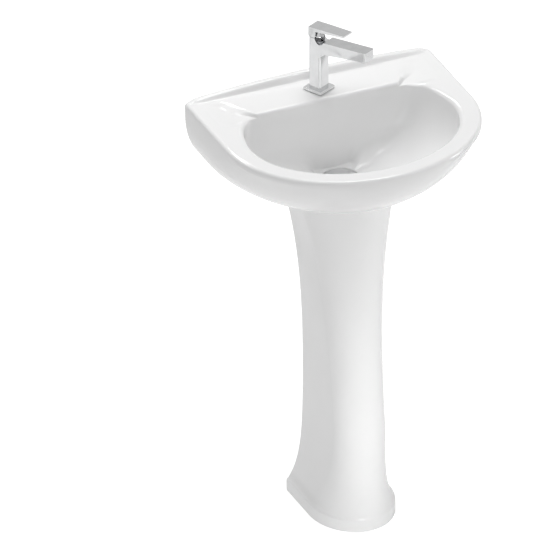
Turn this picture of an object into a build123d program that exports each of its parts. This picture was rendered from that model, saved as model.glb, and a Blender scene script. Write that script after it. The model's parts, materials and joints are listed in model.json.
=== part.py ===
"""Pedestal sink: a ceramic basin on a ceramic pedestal, with a single-lever tap, a waste and a bottle trap.

Millimetres, +Z up, +X to the user's right, +Y towards the wall. The origin is on the floor under the middle
of the basin's plan.
"""
import math
import os

from build123d import *

# Basin
BASIN_WIDTH = 500
BASIN_DEPTH = 412
DECK_HEIGHT = 826
SKIRT_HEIGHT = 12
UNDERSIDE_HEIGHT = 688
UNDERSIDE_WIDTH = 268
UNDERSIDE_FRONT_INSET = 120
CERAMIC_WALL = 12
DECK_THICKNESS = 22
RIM_FILLET = 7
SIDE_STRAIGHT = 195
BELLY_SIDE_POWER = 2.6
BELLY_FRONT_POWER = 1.8
BELLY_STRAIGHT_LOSS = 165
BELLY_LOSS_POWER = 0.77
BELLY_STEPS = 7

# Raised lip along the wall, lowest at its ends
LIP_THICKNESS = 14
LIP_END_HEIGHT = 4
LIP_RISE = 10
LIP_LENGTH = 470

# Soap shelves beside the tap deck
SHELF_DEPTH = 8
SHELF_DECK_HALF_FRONT = 146
SHELF_FLARE = 0.47
SHELF_SIDE_RIM = 26
SHELF_BACK_GAP = 22
SHELF_CORNER = 9

# Bowl
BOWL_HALF_WIDTH = 204
BOWL_HALF_DEPTH = 162
BOWL_CENTRE_Y = -4
BOWL_FLOOR_RADIUS = 46
BOWL_POWER = 2.1
BOWL_STEPS = 7
BOWL_BACK_SETBACK = 98
BOWL_BACK_SLOPE = 8
CUT_MARGIN = 5

# Fixing to the wall, and the opening behind for the supply pipes
WALL_HOLE_RADIUS = 6
WALL_HOLE_SPACING = 200
WALL_HOLE_DROP = 42
SERVICE_WIDTH = 340
SERVICE_TOP_DROP = 66
SERVICE_SILL = 1

# Pedestal
PEDESTAL_WALL = 12
PLINTH_WALL = 20
PEDESTAL_BACK_SETBACK = 95
PLINTH_HEIGHT = 26
PLINTH_HALF_WIDTH = 83
PLINTH_FRONT_MARGIN = 1
FOOT_HALF_WIDTH = 80
WAIST_HALF_WIDTH = 49.5
TOP_HALF_WIDTH = 99
WAIST_HEIGHT = 200
FOOT_FLARE_LENGTH = 45
TOP_FLARE_POWER = 3
NOSE_CENTRE_FOOT_Y = 10
NOSE_CENTRE_WAIST_Y = -30
NOSE_CENTRE_TOP_Y = 40
NOSE_FRONT_FOOT_Y = -88
NOSE_FRONT_WAIST_Y = -80
NOSE_FRONT_TOP_Y = -58
PEDESTAL_STEPS = 12
PEDESTAL_STEP_CROWD = 1.6
FLOOR_LUG_THICKNESS = 10
FLOOR_LUG_DEPTH = 34
FLOOR_HOLE_RADIUS = 4
FLOOR_HOLE_SPACING = 112
FLOOR_HOLE_FROM_BACK = 17

# Tap, drawn about its own upright axis with its spout towards -Y, then turned and set on the deck
TAP_SETBACK = 57
TAP_TURN = 27
TAP_HOLE_RADIUS = 17.5
GASKET_SIDE = 41
GASKET_THICKNESS = 1.2
PLATE_SIDE = 43
PLATE_THICKNESS = 5
PLATE_BEVEL = 2
COLUMN_SIDE = 28
COLUMN_EDGE = 4.5
COLUMN_TOP = 113
SPOUT_TOP = 108
SPOUT_RISE = 14
SPOUT_LENGTH = 134
SPOUT_ROOT_THICKNESS = 24
SPOUT_TIP_THICKNESS = 18
SPOUT_FILLET = 8.55
SPOUT_FILLET_ROOM = 9
SEAM = 0.6
WATERWAY_RADIUS = 4.5
WATERWAY_OVER_SEAT = 1
INLET_RADIUS = 4.5
INLET_OFFSET = 6
INLET_DEPTH = 14
INLET_PASSAGE_RADIUS = 3

# Cartridge and lever
CARTRIDGE_RADIUS = 11.5
CARTRIDGE_HEIGHT = 18
CARTRIDGE_SEAL_THICKNESS = 2
CARTRIDGE_FIT = 0.05
RING_HEIGHT = 7
RING_BORE = 8
TURRET_DOME_RADIUS = 10.4
TURRET_DOME_HEIGHT = 9
TURRET_COLLAR = 2.5
TURRET_TOP_RADIUS = 6.5
TURRET_LUG_WIDTH = 12
STEM_RADIUS = 2.5
STEM_HEAD_RADIUS = 3.5
STEM_HEAD_HEIGHT = 2.2
RUNNING_FIT = 0.05
BODY_GAP = 0.3
LEVER_HEIGHT = 20
LEVER_BLOCK_DEPTH = 16
LEVER_LENGTH = 82
LEVER_RISE = 6.5
LEVER_TIP_WIDTH = 25
LEVER_ROOT_THICKNESS = 6
LEVER_TIP_THICKNESS = 3
LEVER_CHEEK = 3
LEVER_WINDOW_RADIUS = 10.5
WINDOW_SETBACK = 1
LEVER_REAR_WALL = 1.5
FORK_TRAVEL = 3
LEVER_PIN_RADIUS = 1.2
LEVER_PIN_INSET = 4.5
LEVER_PIN_END = 1
LEVER_FORK_THICKNESS = 1.5

# Aerator
AERATOR_RADIUS = 10
AERATOR_WALL = 1.5
AERATOR_PROUD = 3
AERATOR_HEIGHT = 9
AERATOR_FROM_TIP = 14
AERATOR_SEAL_THICKNESS = 1.5
AERATOR_HOLE_RADIUS = 1.1
AERATOR_HOLE_CIRCLE = 5
AERATOR_HOLES = 8

# Tap clamping
SHANK_RADIUS = 14
SHANK_BORE = 11
SHANK_LENGTH = 46
CLAMP_RADIUS = 23
CLAMP_RUBBER_THICKNESS = 3
CLAMP_STEEL_THICKNESS = 2
SHANK_NUT_HEIGHT = 10
SHANK_NUT_FLATS = 40
THREAD_CLEARANCE = 0.1

# Waste
WASTE_SETBACK = 155
FLANGE_RADIUS = 33
FLANGE_THICKNESS = 3
FLANGE_ROOM = 1
FLANGE_BEVEL = 1
WASTE_TUBE_RADIUS = 21
WASTE_BORE = 18
WASTE_LENGTH = 78
WASTE_WELL_DEPTH = 12
WASTE_BOSS_RADIUS = 50
WASTE_GASKET_THICKNESS = 1.5
LOWER_GASKET_RADIUS = 31
LOWER_GASKET_THICKNESS = 5
WASTE_NUT_FLATS = 54
WASTE_NUT_HEIGHT = 12
SPIDER_ARM_WIDTH = 3
SPIDER_HEIGHT = 14
SPIDER_DROP = 26
SPIDER_HUB_RADIUS = 7
STOPPER_RADIUS = 25
STOPPER_CROWN = 5
STOPPER_EDGE = 2.5
STOPPER_STEM_RADIUS = 4
STOPPER_STEM_BELOW_HUB = 4
STOPPER_SEAL_RADIUS = 17.5
STOPPER_SEAL_HEIGHT = 2.5

# Trap
PIPE_RADIUS = 16
PIPE_WALL = 1.5
TAIL_INSERT = 16
TAIL_LENGTH = 160
TRAP_RADIUS = 27
TRAP_WALL = 3
TRAP_BODY_HEIGHT = 84
TRAP_NECK_RADIUS = 19
TRAP_NECK_HEIGHT = 16
TRAP_NUT_RADIUS = 24
TRAP_NUT_HEIGHT = 18
TRAP_NUT_LIP = 3
TRAP_WASHER_HEIGHT = 6
TRAP_TOP_HEIGHT = 530
TRAP_OUTLET_DROP = 26
TRAP_OUTLET_REACH = 16
TRAP_CUP_RADIUS = 31
TRAP_CUP_HEIGHT = 56
TRAP_CUP_OVERLAP = 16
TRAP_CUP_SEAL_HEIGHT = 2
TRAP_FIN_COUNT = 12
TRAP_FIN_RADIUS = 1.6
WALL_FLANGE_RADIUS = 24
WALL_FLANGE_THICKNESS = 6

# Worked out from the sizes above
WALL_Y = BASIN_DEPTH / 2
FRONT_Y = -BASIN_DEPTH / 2
HALF_WIDTH = BASIN_WIDTH / 2
SKIRT_BOTTOM = DECK_HEIGHT - SKIRT_HEIGHT
SIDE_END_Y = WALL_Y - SIDE_STRAIGHT
BOWL_BACK_Y = WALL_Y - BOWL_BACK_SETBACK
BOWL_FLOOR_HEIGHT = UNDERSIDE_HEIGHT + CERAMIC_WALL
BOWL_DEPTH = DECK_HEIGHT - BOWL_FLOOR_HEIGHT
WASTE_Y = WALL_Y - WASTE_SETBACK
PEDESTAL_BACK_Y = WALL_Y - PEDESTAL_BACK_SETBACK
TAP_Y = WALL_Y - TAP_SETBACK
BODY_BOTTOM = GASKET_THICKNESS + PLATE_THICKNESS
CARTRIDGE_BOTTOM = COLUMN_TOP - RING_HEIGHT - CARTRIDGE_HEIGHT
BORE_BOTTOM = CARTRIDGE_BOTTOM - CARTRIDGE_SEAL_THICKNESS
LEVER_BOTTOM = COLUMN_TOP + SEAM
LEVER_TOP = LEVER_BOTTOM + LEVER_HEIGHT
LEVER_CEILING = LEVER_TOP - LEVER_ROOT_THICKNESS
LEVER_REAR_Y = COLUMN_SIDE / 2
LEVER_PIN_Y = LEVER_REAR_Y - LEVER_PIN_INSET
LEVER_PIN_Z = LEVER_BOTTOM + LEVER_PIN_INSET
TURRET_BOTTOM = COLUMN_TOP + BODY_GAP
SPOUT_TIP_Y = COLUMN_SIDE / 2 - SPOUT_LENGTH
AERATOR_Y = SPOUT_TIP_Y + AERATOR_FROM_TIP
WASTE_SEAT_HEIGHT = BOWL_FLOOR_HEIGHT - WASTE_WELL_DEPTH
BOSS_BOTTOM = UNDERSIDE_HEIGHT - WASTE_WELL_DEPTH
FLANGE_BOTTOM = WASTE_SEAT_HEIGHT - FLANGE_THICKNESS
SPIDER_TOP = FLANGE_BOTTOM - SPIDER_DROP
WASTE_BOTTOM = FLANGE_BOTTOM - WASTE_LENGTH
TAIL_TOP = WASTE_BOTTOM + TAIL_INSERT
TRAP_AXIS_Z = TRAP_TOP_HEIGHT - TRAP_OUTLET_DROP
TRAP_BODY_BOTTOM = TRAP_TOP_HEIGHT - TRAP_BODY_HEIGHT

tap_place = Location((0, TAP_Y, DECK_HEIGHT), (0, 0, TAP_TURN))


def tube(outer, inner, height, bottom, x=0, y=0):
    """An upright ring from its bottom height."""
    ring = Circle(outer) - Circle(inner)
    return extrude(Location((x, y, bottom)) * ring, height)


def rod(radius, height, bottom, x=0, y=0):
    """An upright cylinder from its bottom height."""
    return extrude(Location((x, y, bottom)) * Circle(radius), height)


def rod_along_y(radius, y_from, y_to, z, x=0):
    """A cylinder along Y between two places."""
    plane = Plane((x, y_from, z), x_dir=(1, 0, 0), z_dir=(0, 1, 0))
    return extrude(plane * Circle(radius), y_to - y_from)


def rod_along_x(radius, half_length, y, z):
    """A cylinder along X, centred on X = 0."""
    plane = Plane((-half_length, y, z), x_dir=(0, 1, 0), z_dir=(1, 0, 0))
    return extrude(plane * Circle(radius), 2 * half_length)


def block(x_from, x_to, y_from, y_to, z_from, z_to):
    """A box between two corners."""
    size = (x_to - x_from, y_to - y_from, z_to - z_from)
    middle = ((x_from + x_to) / 2, (y_from + y_to) / 2, (z_from + z_to) / 2)
    return Location(middle) * Box(*size)


def side_profile(points):
    """A closed outline in the YZ plane, as a face to extrude along X."""
    return Plane.YZ * make_face(Polyline(*points, close=True))


def d_section(half, side_end_y, front_y, back_y, height):
    """A plan outline with a straight back, straight sides and a half-ellipse nose."""
    back = Line((half, back_y), (-half, back_y))
    left = Line((-half, back_y), (-half, side_end_y))
    nose = EllipticalCenterArc((0, side_end_y), half, side_end_y - front_y, 180, arc_size=180)
    right = Line((half, side_end_y), (half, back_y))
    return Location((0, 0, height)) * make_face([back, left, nose, right])


def belly(inset):
    """The basin's outer form below its skirt, down to its underside, moved inwards by an inset."""
    half_low = UNDERSIDE_WIDTH / 2
    front_low = FRONT_Y + UNDERSIDE_FRONT_INSET
    drop = SKIRT_BOTTOM - UNDERSIDE_HEIGHT
    sections = []
    for step in range(BELLY_STEPS, -1, -1):
        share = math.sin(math.pi / 2 * step / BELLY_STEPS)
        side = (1 - share ** BELLY_SIDE_POWER) ** (1 / BELLY_SIDE_POWER)
        nose = 1 - share ** BELLY_FRONT_POWER
        half = half_low + (HALF_WIDTH - half_low) * side - inset
        front = front_low + (FRONT_Y - front_low) * nose + inset
        side_end = SIDE_END_Y + BELLY_STRAIGHT_LOSS * share ** BELLY_LOSS_POWER
        sections.append(d_section(half, side_end, front, WALL_Y - inset, SKIRT_BOTTOM - drop * share))
    return loft(sections)


def skirt(inset, height):
    """The basin's upright skirt, from the belly up."""
    return extrude(d_section(HALF_WIDTH - inset, SIDE_END_Y, FRONT_Y + inset, WALL_Y - inset,
                             SKIRT_BOTTOM), height)


def bowl(grow, floor):
    """The bowl's space, grown outwards by a wall, with its flat sloping back."""
    sections = []
    for step in range(BOWL_STEPS, -1, -1):
        share = math.sin(math.pi / 2 * step / BOWL_STEPS)
        spread = (1 - share ** BOWL_POWER) ** (1 / BOWL_POWER)
        half_x = BOWL_FLOOR_RADIUS + (BOWL_HALF_WIDTH - BOWL_FLOOR_RADIUS) * spread + grow
        half_y = BOWL_FLOOR_RADIUS + (BOWL_HALF_DEPTH - BOWL_FLOOR_RADIUS) * spread + grow
        centre = WASTE_Y + (BOWL_CENTRE_Y - WASTE_Y) * spread
        height = DECK_HEIGHT - (DECK_HEIGHT - floor) * share
        sections.append(Location((0, centre, height)) * Ellipse(half_x, half_y))
    space = loft(sections) + extrude(sections[-1], LIP_RISE)
    back = BOWL_BACK_Y + grow
    low = floor - CUT_MARGIN
    lean = (DECK_HEIGHT - low) * math.tan(math.radians(BOWL_BACK_SLOPE))
    top = DECK_HEIGHT + LIP_RISE + CUT_MARGIN
    far = WALL_Y + grow
    outline = [(back, top), (back, DECK_HEIGHT), (back - lean, low), (far, low), (far, top)]
    return space - extrude(side_profile(outline), BASIN_WIDTH, both=True)


def lip():
    """The raised lip against the wall, with an arched crest."""
    half = LIP_LENGTH / 2
    ends = DECK_HEIGHT + LIP_END_HEIGHT
    crest = ThreePointArc((-half, ends), (0, ends + LIP_RISE), (half, ends))
    right = Line((half, ends), (half, DECK_HEIGHT - LIP_THICKNESS))
    foot = Line((half, DECK_HEIGHT - LIP_THICKNESS), (-half, DECK_HEIGHT - LIP_THICKNESS))
    left = Line((-half, DECK_HEIGHT - LIP_THICKNESS), (-half, ends))
    plane = Plane((0, WALL_Y, 0), x_dir=(1, 0, 0), z_dir=(0, -1, 0))
    return extrude(plane * make_face([crest, right, foot, left]), LIP_THICKNESS)


def shelf():
    """The space above the right-hand soap shelf, which rises from the tap deck's foot to the side rim."""
    back_y = WALL_Y - SHELF_BACK_GAP
    deck_front = SHELF_DECK_HALF_FRONT
    deck_back = deck_front + SHELF_FLARE * (back_y - BOWL_BACK_Y)
    rim_x = HALF_WIDTH - SHELF_SIDE_RIM
    outside = rim_x + SHELF_CORNER
    front_y = BOWL_CENTRE_Y
    outline = [(deck_front, front_y), (deck_front, BOWL_BACK_Y), (deck_back, back_y), (outside, back_y),
               (outside, SIDE_END_Y), (BOWL_HALF_WIDTH - SHELF_CORNER, front_y)]
    face = make_face(Polyline(*outline, close=True))
    low = DECK_HEIGHT - 2 * SHELF_DEPTH
    space = extrude(Location((0, 0, low)) * face, 2 * SHELF_DEPTH + LIP_RISE)
    upright = space.edges().filter_by(Axis.Z).sort_by(Axis.Y)[-3:]
    space = fillet(upright, SHELF_CORNER)
    slope = SHELF_DEPTH / (rim_x - deck_front)
    far = rim_x + 2 * SHELF_CORNER
    near = deck_front - SHELF_CORNER
    ramp = [(near, low - SHELF_DEPTH), (far, low - SHELF_DEPTH), (far, DECK_HEIGHT + slope * (far - rim_x)),
            (near, DECK_HEIGHT - slope * (rim_x - near))]
    return space - extrude(Plane.XZ * make_face(Polyline(*ramp, close=True)), BASIN_DEPTH, both=True)


def slab(low, high):
    """Everything between two heights, to cut a form off level."""
    return block(-BASIN_WIDTH, BASIN_WIDTH, -BASIN_DEPTH, BASIN_DEPTH, low, high)


def make_basin():
    rim = skirt(0, SKIRT_HEIGHT)
    rim = fillet(rim.faces().sort_by(Axis.Z)[-1].edges(), RIM_FILLET)
    space = bowl(0, BOWL_FLOOR_HEIGHT)
    boss = rod(WASTE_BOSS_RADIUS, WASTE_WELL_DEPTH + CUT_MARGIN, BOSS_BOTTOM, 0, WASTE_Y)
    body = rim + belly(0) + lip() + boss - space
    body = body - shelf() - mirror(shelf(), Plane.YZ)
    boss_room = rod(WASTE_BOSS_RADIUS + CUT_MARGIN, WASTE_WELL_DEPTH + 2 * CUT_MARGIN,
                    BOSS_BOTTOM - CUT_MARGIN,
                    0, WASTE_Y)
    bowl_shell = bowl(CERAMIC_WALL, UNDERSIDE_HEIGHT - CUT_MARGIN) + boss_room
    deck_bottom = DECK_HEIGHT - DECK_THICKNESS
    hollow = (belly(CERAMIC_WALL) & slab(BOWL_FLOOR_HEIGHT, deck_bottom)) - bowl_shell
    service_top = DECK_HEIGHT - SERVICE_TOP_DROP
    hollow = hollow + block(-SERVICE_WIDTH / 2, SERVICE_WIDTH / 2, WALL_Y - 2 * CERAMIC_WALL,
                            WALL_Y + CERAMIC_WALL, BOWL_FLOOR_HEIGHT + SERVICE_SILL, service_top)
    body = body - hollow
    hole_bottom = DECK_HEIGHT - 2 * DECK_THICKNESS + LIP_RISE
    body = body - rod(TAP_HOLE_RADIUS, 2 * DECK_THICKNESS, hole_bottom, 0, TAP_Y)
    recess_bottom = FLANGE_BOTTOM - WASTE_GASKET_THICKNESS
    body = body - rod(FLANGE_RADIUS + FLANGE_ROOM, BOWL_DEPTH, recess_bottom, 0, WASTE_Y)
    body = body - rod(WASTE_TUBE_RADIUS + FLANGE_ROOM, BOWL_DEPTH, BOSS_BOTTOM - CERAMIC_WALL, 0, WASTE_Y)
    wall_hole_height = DECK_HEIGHT - WALL_HOLE_DROP
    for side in (-1, 1):
        body = body - rod_along_y(WALL_HOLE_RADIUS, WALL_Y - 2 * CERAMIC_WALL, WALL_Y + CERAMIC_WALL,
                                  wall_hole_height, side * WALL_HOLE_SPACING / 2)
    deck = body & slab(deck_bottom, 2 * DECK_HEIGHT)
    lower = body & slab(0, deck_bottom)
    bowl_wall = lower & bowl_shell
    return deck, bowl_wall, lower - bowl_shell


def pedestal_half(height):
    """Half the column's width at a height: a quick flare at the foot and a slow one at the top."""
    foot = (FOOT_HALF_WIDTH - WAIST_HALF_WIDTH) * math.exp(-(height - PLINTH_HEIGHT) / FOOT_FLARE_LENGTH)
    climb = max(0, height - WAIST_HEIGHT) / (UNDERSIDE_HEIGHT - WAIST_HEIGHT)
    return WAIST_HALF_WIDTH + foot + (TOP_HALF_WIDTH - WAIST_HALF_WIDTH) * climb ** TOP_FLARE_POWER


def along_column(foot, waist, top, height):
    """A place on the column at a height, from its places at the foot, the waist and the top."""
    if height < WAIST_HEIGHT:
        below = (WAIST_HEIGHT - height) / (WAIST_HEIGHT - PLINTH_HEIGHT)
        return waist + (foot - waist) * below ** 2
    return waist + (top - waist) * (height - WAIST_HEIGHT) / (UNDERSIDE_HEIGHT - WAIST_HEIGHT)


def pedestal_form(inset, back_y, top):
    """The column above its plinth, moved inwards by an inset."""
    sections = []
    for step in range(PEDESTAL_STEPS + 1):
        share = (step / PEDESTAL_STEPS) ** PEDESTAL_STEP_CROWD
        height = PLINTH_HEIGHT + (top - PLINTH_HEIGHT) * share
        centre = along_column(NOSE_CENTRE_FOOT_Y, NOSE_CENTRE_WAIST_Y, NOSE_CENTRE_TOP_Y, height)
        front = along_column(NOSE_FRONT_FOOT_Y, NOSE_FRONT_WAIST_Y, NOSE_FRONT_TOP_Y, height) + inset
        sections.append(d_section(pedestal_half(height) - inset, centre, front, back_y, height))
    return loft(sections)


def make_pedestal():
    foot_front = NOSE_FRONT_FOOT_Y - PLINTH_FRONT_MARGIN
    plinth = extrude(d_section(PLINTH_HALF_WIDTH, NOSE_CENTRE_FOOT_Y, foot_front, PEDESTAL_BACK_Y, 0),
                     PLINTH_HEIGHT)
    hollow_front = foot_front + PLINTH_WALL
    hollow_back = PEDESTAL_BACK_Y + PEDESTAL_WALL
    plinth_hollow = extrude(d_section(PLINTH_HALF_WIDTH - PLINTH_WALL, NOSE_CENTRE_FOOT_Y, hollow_front,
                                      hollow_back,
                                      -CUT_MARGIN), PLINTH_HEIGHT + 2 * CUT_MARGIN)
    shell = plinth + pedestal_form(0, PEDESTAL_BACK_Y, UNDERSIDE_HEIGHT)
    shell = shell - pedestal_form(PEDESTAL_WALL, hollow_back, UNDERSIDE_HEIGHT + CUT_MARGIN) - plinth_hollow
    for side in (-1, 1):
        hole_x = side * FLOOR_HOLE_SPACING / 2
        lug_in = hole_x - side * FLOOR_LUG_DEPTH / 2
        lug_out = side * (PLINTH_HALF_WIDTH - PEDESTAL_WALL / 2)
        lug = block(min(lug_in, lug_out), max(lug_in, lug_out), PEDESTAL_BACK_Y - FLOOR_LUG_DEPTH,
                    PEDESTAL_BACK_Y,
                    0, FLOOR_LUG_THICKNESS)
        hole = rod(FLOOR_HOLE_RADIUS, PLINTH_HEIGHT, -FLOOR_LUG_THICKNESS, hole_x,
                   PEDESTAL_BACK_Y - FLOOR_HOLE_FROM_BACK)
        shell = shell + lug - hole
    return shell


def column_outline(side, edge):
    """The tap column's plan: square, with its upright edges rounded."""
    return RectangleRounded(side, side, edge)


def spout_profile():
    """The spout's side outline, rising and thinning towards its tip."""
    tip_top = SPOUT_TOP + SPOUT_RISE
    root_bottom = SPOUT_TOP - SPOUT_ROOT_THICKNESS
    front = -COLUMN_SIDE / 2
    return [(0, SPOUT_TOP), (SPOUT_TIP_Y, tip_top), (SPOUT_TIP_Y, tip_top - SPOUT_TIP_THICKNESS),
            (front, root_bottom), (front, root_bottom - SPOUT_FILLET_ROOM),
            (0, root_bottom - SPOUT_FILLET_ROOM)]


def lever_window():
    """The round opening between lever and body that shows the turret."""
    return rod_along_x(LEVER_WINDOW_RADIUS, COLUMN_SIDE, -LEVER_WINDOW_RADIUS - WINDOW_SETBACK,
                       COLUMN_TOP + SEAM)


def aerator_place():
    """The height of the spout's underside at the aerator."""
    run = -COLUMN_SIDE / 2 - SPOUT_TIP_Y
    share = AERATOR_FROM_TIP / run
    tip_bottom = SPOUT_TOP + SPOUT_RISE - SPOUT_TIP_THICKNESS
    root_bottom = SPOUT_TOP - SPOUT_ROOT_THICKNESS
    return tip_bottom + (root_bottom - tip_bottom) * share


def waterway():
    """The passage from the cartridge to the aerator, rising with the spout."""
    start_z = SPOUT_TOP - SPOUT_TIP_THICKNESS / 2
    rise = aerator_place() + AERATOR_HEIGHT - AERATOR_PROUD + WATERWAY_OVER_SEAT - start_z
    start = Plane(origin=(0, 0, start_z), z_dir=(0, AERATOR_Y, rise))
    return extrude(start * Circle(WATERWAY_RADIUS), math.hypot(AERATOR_Y, rise))


def make_tap_body():
    column = extrude(Location((0, 0, BODY_BOTTOM)) * column_outline(COLUMN_SIDE, COLUMN_EDGE),
                     COLUMN_TOP - BODY_BOTTOM)
    spout = extrude(side_profile(spout_profile()), COLUMN_SIDE / 2, both=True)
    tip_edges = spout.edges().filter_by(Axis.Z).sort_by(Axis.Y)[:2]
    spout = fillet(tip_edges, COLUMN_EDGE)
    front = -COLUMN_SIDE / 2
    inner = spout.edges().filter_by(Axis.X).filter_by_position(Axis.Y, front - 1, front + 1)
    spout = fillet(inner.sort_by(Axis.Z)[-1], SPOUT_FILLET)
    body = column + spout
    body = body - lever_window()
    body = body - rod(CARTRIDGE_RADIUS + CARTRIDGE_FIT, COLUMN_TOP, BORE_BOTTOM)
    body = body - waterway()
    seat = aerator_place() + AERATOR_HEIGHT - AERATOR_PROUD
    body = body - rod(AERATOR_RADIUS + CARTRIDGE_FIT, AERATOR_HEIGHT, seat - AERATOR_HEIGHT, 0, AERATOR_Y)
    for side in (-1, 1):
        body = body - rod(INLET_RADIUS, INLET_DEPTH, BODY_BOTTOM, side * INLET_OFFSET, 0)
        body = body - rod(INLET_PASSAGE_RADIUS, BORE_BOTTOM, BODY_BOTTOM, side * INLET_OFFSET, 0)
    foot_top = BODY_BOTTOM + INLET_DEPTH
    front = -COLUMN_SIDE / 2
    far = SPOUT_LENGTH + COLUMN_SIDE
    spout = body & block(-COLUMN_SIDE, COLUMN_SIDE, -far, front, 0, 2 * COLUMN_TOP)
    column = body & block(-COLUMN_SIDE, COLUMN_SIDE, front, far, foot_top, 2 * COLUMN_TOP)
    left_block = body & block(-COLUMN_SIDE, 0, front, far, 0, foot_top)
    right_block = body & block(0, COLUMN_SIDE, front, far, 0, foot_top)
    return column, spout, left_block, right_block


def make_base_plate():
    plate = extrude(Location((0, 0, GASKET_THICKNESS)) * column_outline(PLATE_SIDE, COLUMN_EDGE / 2),
                    PLATE_THICKNESS)
    plate = chamfer(plate.faces().sort_by(Axis.Z)[-1].edges(), PLATE_BEVEL)
    return plate - rod(SHANK_RADIUS + THREAD_CLEARANCE, PLATE_THICKNESS, GASKET_THICKNESS)


def make_base_gasket():
    pad = extrude(column_outline(GASKET_SIDE, COLUMN_EDGE / 2), GASKET_THICKNESS)
    return pad - rod(TAP_HOLE_RADIUS, GASKET_THICKNESS, 0)


def make_cartridge_body():
    body = rod(CARTRIDGE_RADIUS, CARTRIDGE_HEIGHT, CARTRIDGE_BOTTOM)
    well = rod(RING_BORE, CARTRIDGE_HEIGHT, CARTRIDGE_BOTTOM + CARTRIDGE_HEIGHT / 2)
    body = body - well - waterway()
    for side in (-1, 1):
        body = body - rod(INLET_PASSAGE_RADIUS, CARTRIDGE_HEIGHT, CARTRIDGE_BOTTOM, side * INLET_OFFSET, 0)
    return body


def make_cartridge_seal():
    seal = rod(CARTRIDGE_RADIUS, CARTRIDGE_SEAL_THICKNESS, BORE_BOTTOM)
    for side in (-1, 1):
        seal = seal - rod(INLET_PASSAGE_RADIUS, CARTRIDGE_SEAL_THICKNESS, BORE_BOTTOM,
                          side * INLET_OFFSET, 0)
    return seal


def make_retaining_ring():
    return tube(CARTRIDGE_RADIUS, RING_BORE, RING_HEIGHT, COLUMN_TOP - RING_HEIGHT)


def make_turret():
    """The dome that turns on the ring, with the lug that carries the lever's pin behind it."""
    spindle = rod(RING_BORE - RUNNING_FIT, TURRET_BOTTOM - COLUMN_TOP + RING_HEIGHT,
                  COLUMN_TOP - RING_HEIGHT)
    dome_face = make_face(Polyline((0, TURRET_BOTTOM), (TURRET_DOME_RADIUS, TURRET_BOTTOM),
                                   (TURRET_DOME_RADIUS, TURRET_BOTTOM + TURRET_COLLAR),
                                   (TURRET_TOP_RADIUS, TURRET_BOTTOM + TURRET_DOME_HEIGHT),
                                   (0, TURRET_BOTTOM + TURRET_DOME_HEIGHT), close=True))
    dome = revolve(Plane.XZ * dome_face, Axis.Z)
    lug_radius = LEVER_PIN_INSET - LEVER_REAR_WALL - BODY_GAP
    lug = block(-TURRET_LUG_WIDTH / 2, TURRET_LUG_WIDTH / 2, 0, LEVER_PIN_Y, TURRET_BOTTOM,
                LEVER_PIN_Z + lug_radius)
    eye = rod_along_x(lug_radius, TURRET_LUG_WIDTH / 2, LEVER_PIN_Y, LEVER_PIN_Z)
    turret = spindle + dome + lug + eye
    turret = turret - rod(STEM_RADIUS + RUNNING_FIT, COLUMN_TOP, CARTRIDGE_BOTTOM)
    return turret - rod_along_x(LEVER_PIN_RADIUS + RUNNING_FIT, COLUMN_SIDE, LEVER_PIN_Y, LEVER_PIN_Z)


def make_stem():
    foot = CARTRIDGE_BOTTOM + CARTRIDGE_HEIGHT / 2 + BODY_GAP
    fork_top = LEVER_CEILING - STEM_HEAD_HEIGHT - 2 * BODY_GAP
    head = rod(STEM_HEAD_RADIUS, STEM_HEAD_HEIGHT, fork_top + BODY_GAP)
    return rod(STEM_RADIUS, fork_top + BODY_GAP - foot, foot) + head


def make_lever():
    """A block over the turret and a thin paddle, hooked under the stem's head."""
    half = COLUMN_SIDE / 2
    tip_y = LEVER_REAR_Y - LEVER_LENGTH
    side = [(LEVER_REAR_Y, LEVER_BOTTOM), (LEVER_REAR_Y, LEVER_TOP), (tip_y, LEVER_TOP + LEVER_RISE),
            (tip_y, LEVER_TOP + LEVER_RISE - LEVER_TIP_THICKNESS),
            (LEVER_REAR_Y - LEVER_BLOCK_DEPTH, LEVER_CEILING),
            (LEVER_REAR_Y - LEVER_BLOCK_DEPTH, LEVER_BOTTOM)]
    lever = extrude(side_profile(side), half, both=True)
    rear = lever.edges().filter_by(Axis.X).filter_by_position(Axis.Z, LEVER_BOTTOM - 1, LEVER_BOTTOM + 1)
    lever = fillet(rear.sort_by(Axis.Y)[-1], LEVER_PIN_INSET)
    plan = make_face(Polyline((-half, LEVER_REAR_Y), (half, LEVER_REAR_Y), (half, -half),
                              (LEVER_TIP_WIDTH / 2, tip_y),
                              (-LEVER_TIP_WIDTH / 2, tip_y), (-half, -half), close=True))
    lever = lever & extrude(plan, 2 * LEVER_TOP)
    cavity_half = half - LEVER_CHEEK
    cavity = block(-cavity_half, cavity_half, LEVER_REAR_Y - LEVER_LENGTH / 2,
                   LEVER_REAR_Y - LEVER_REAR_WALL,
                   0, LEVER_CEILING)
    lever = lever - cavity - lever_window()
    fork_top = LEVER_CEILING - STEM_HEAD_HEIGHT - 2 * BODY_GAP
    fork = block(-cavity_half, cavity_half, 0, LEVER_PIN_Y - LEVER_PIN_INSET,
                 fork_top - LEVER_FORK_THICKNESS, fork_top)
    slot = block(-STEM_RADIUS - BODY_GAP, STEM_RADIUS + BODY_GAP, -LEVER_PIN_Y, STEM_RADIUS + FORK_TRAVEL,
                 0, LEVER_TOP)
    lever = lever + (fork - slot)
    return lever - rod_along_x(LEVER_PIN_RADIUS, half - LEVER_PIN_END, LEVER_PIN_Y, LEVER_PIN_Z)


def make_lever_pin():
    return rod_along_x(LEVER_PIN_RADIUS, COLUMN_SIDE / 2 - LEVER_PIN_END, LEVER_PIN_Y, LEVER_PIN_Z)


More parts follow.
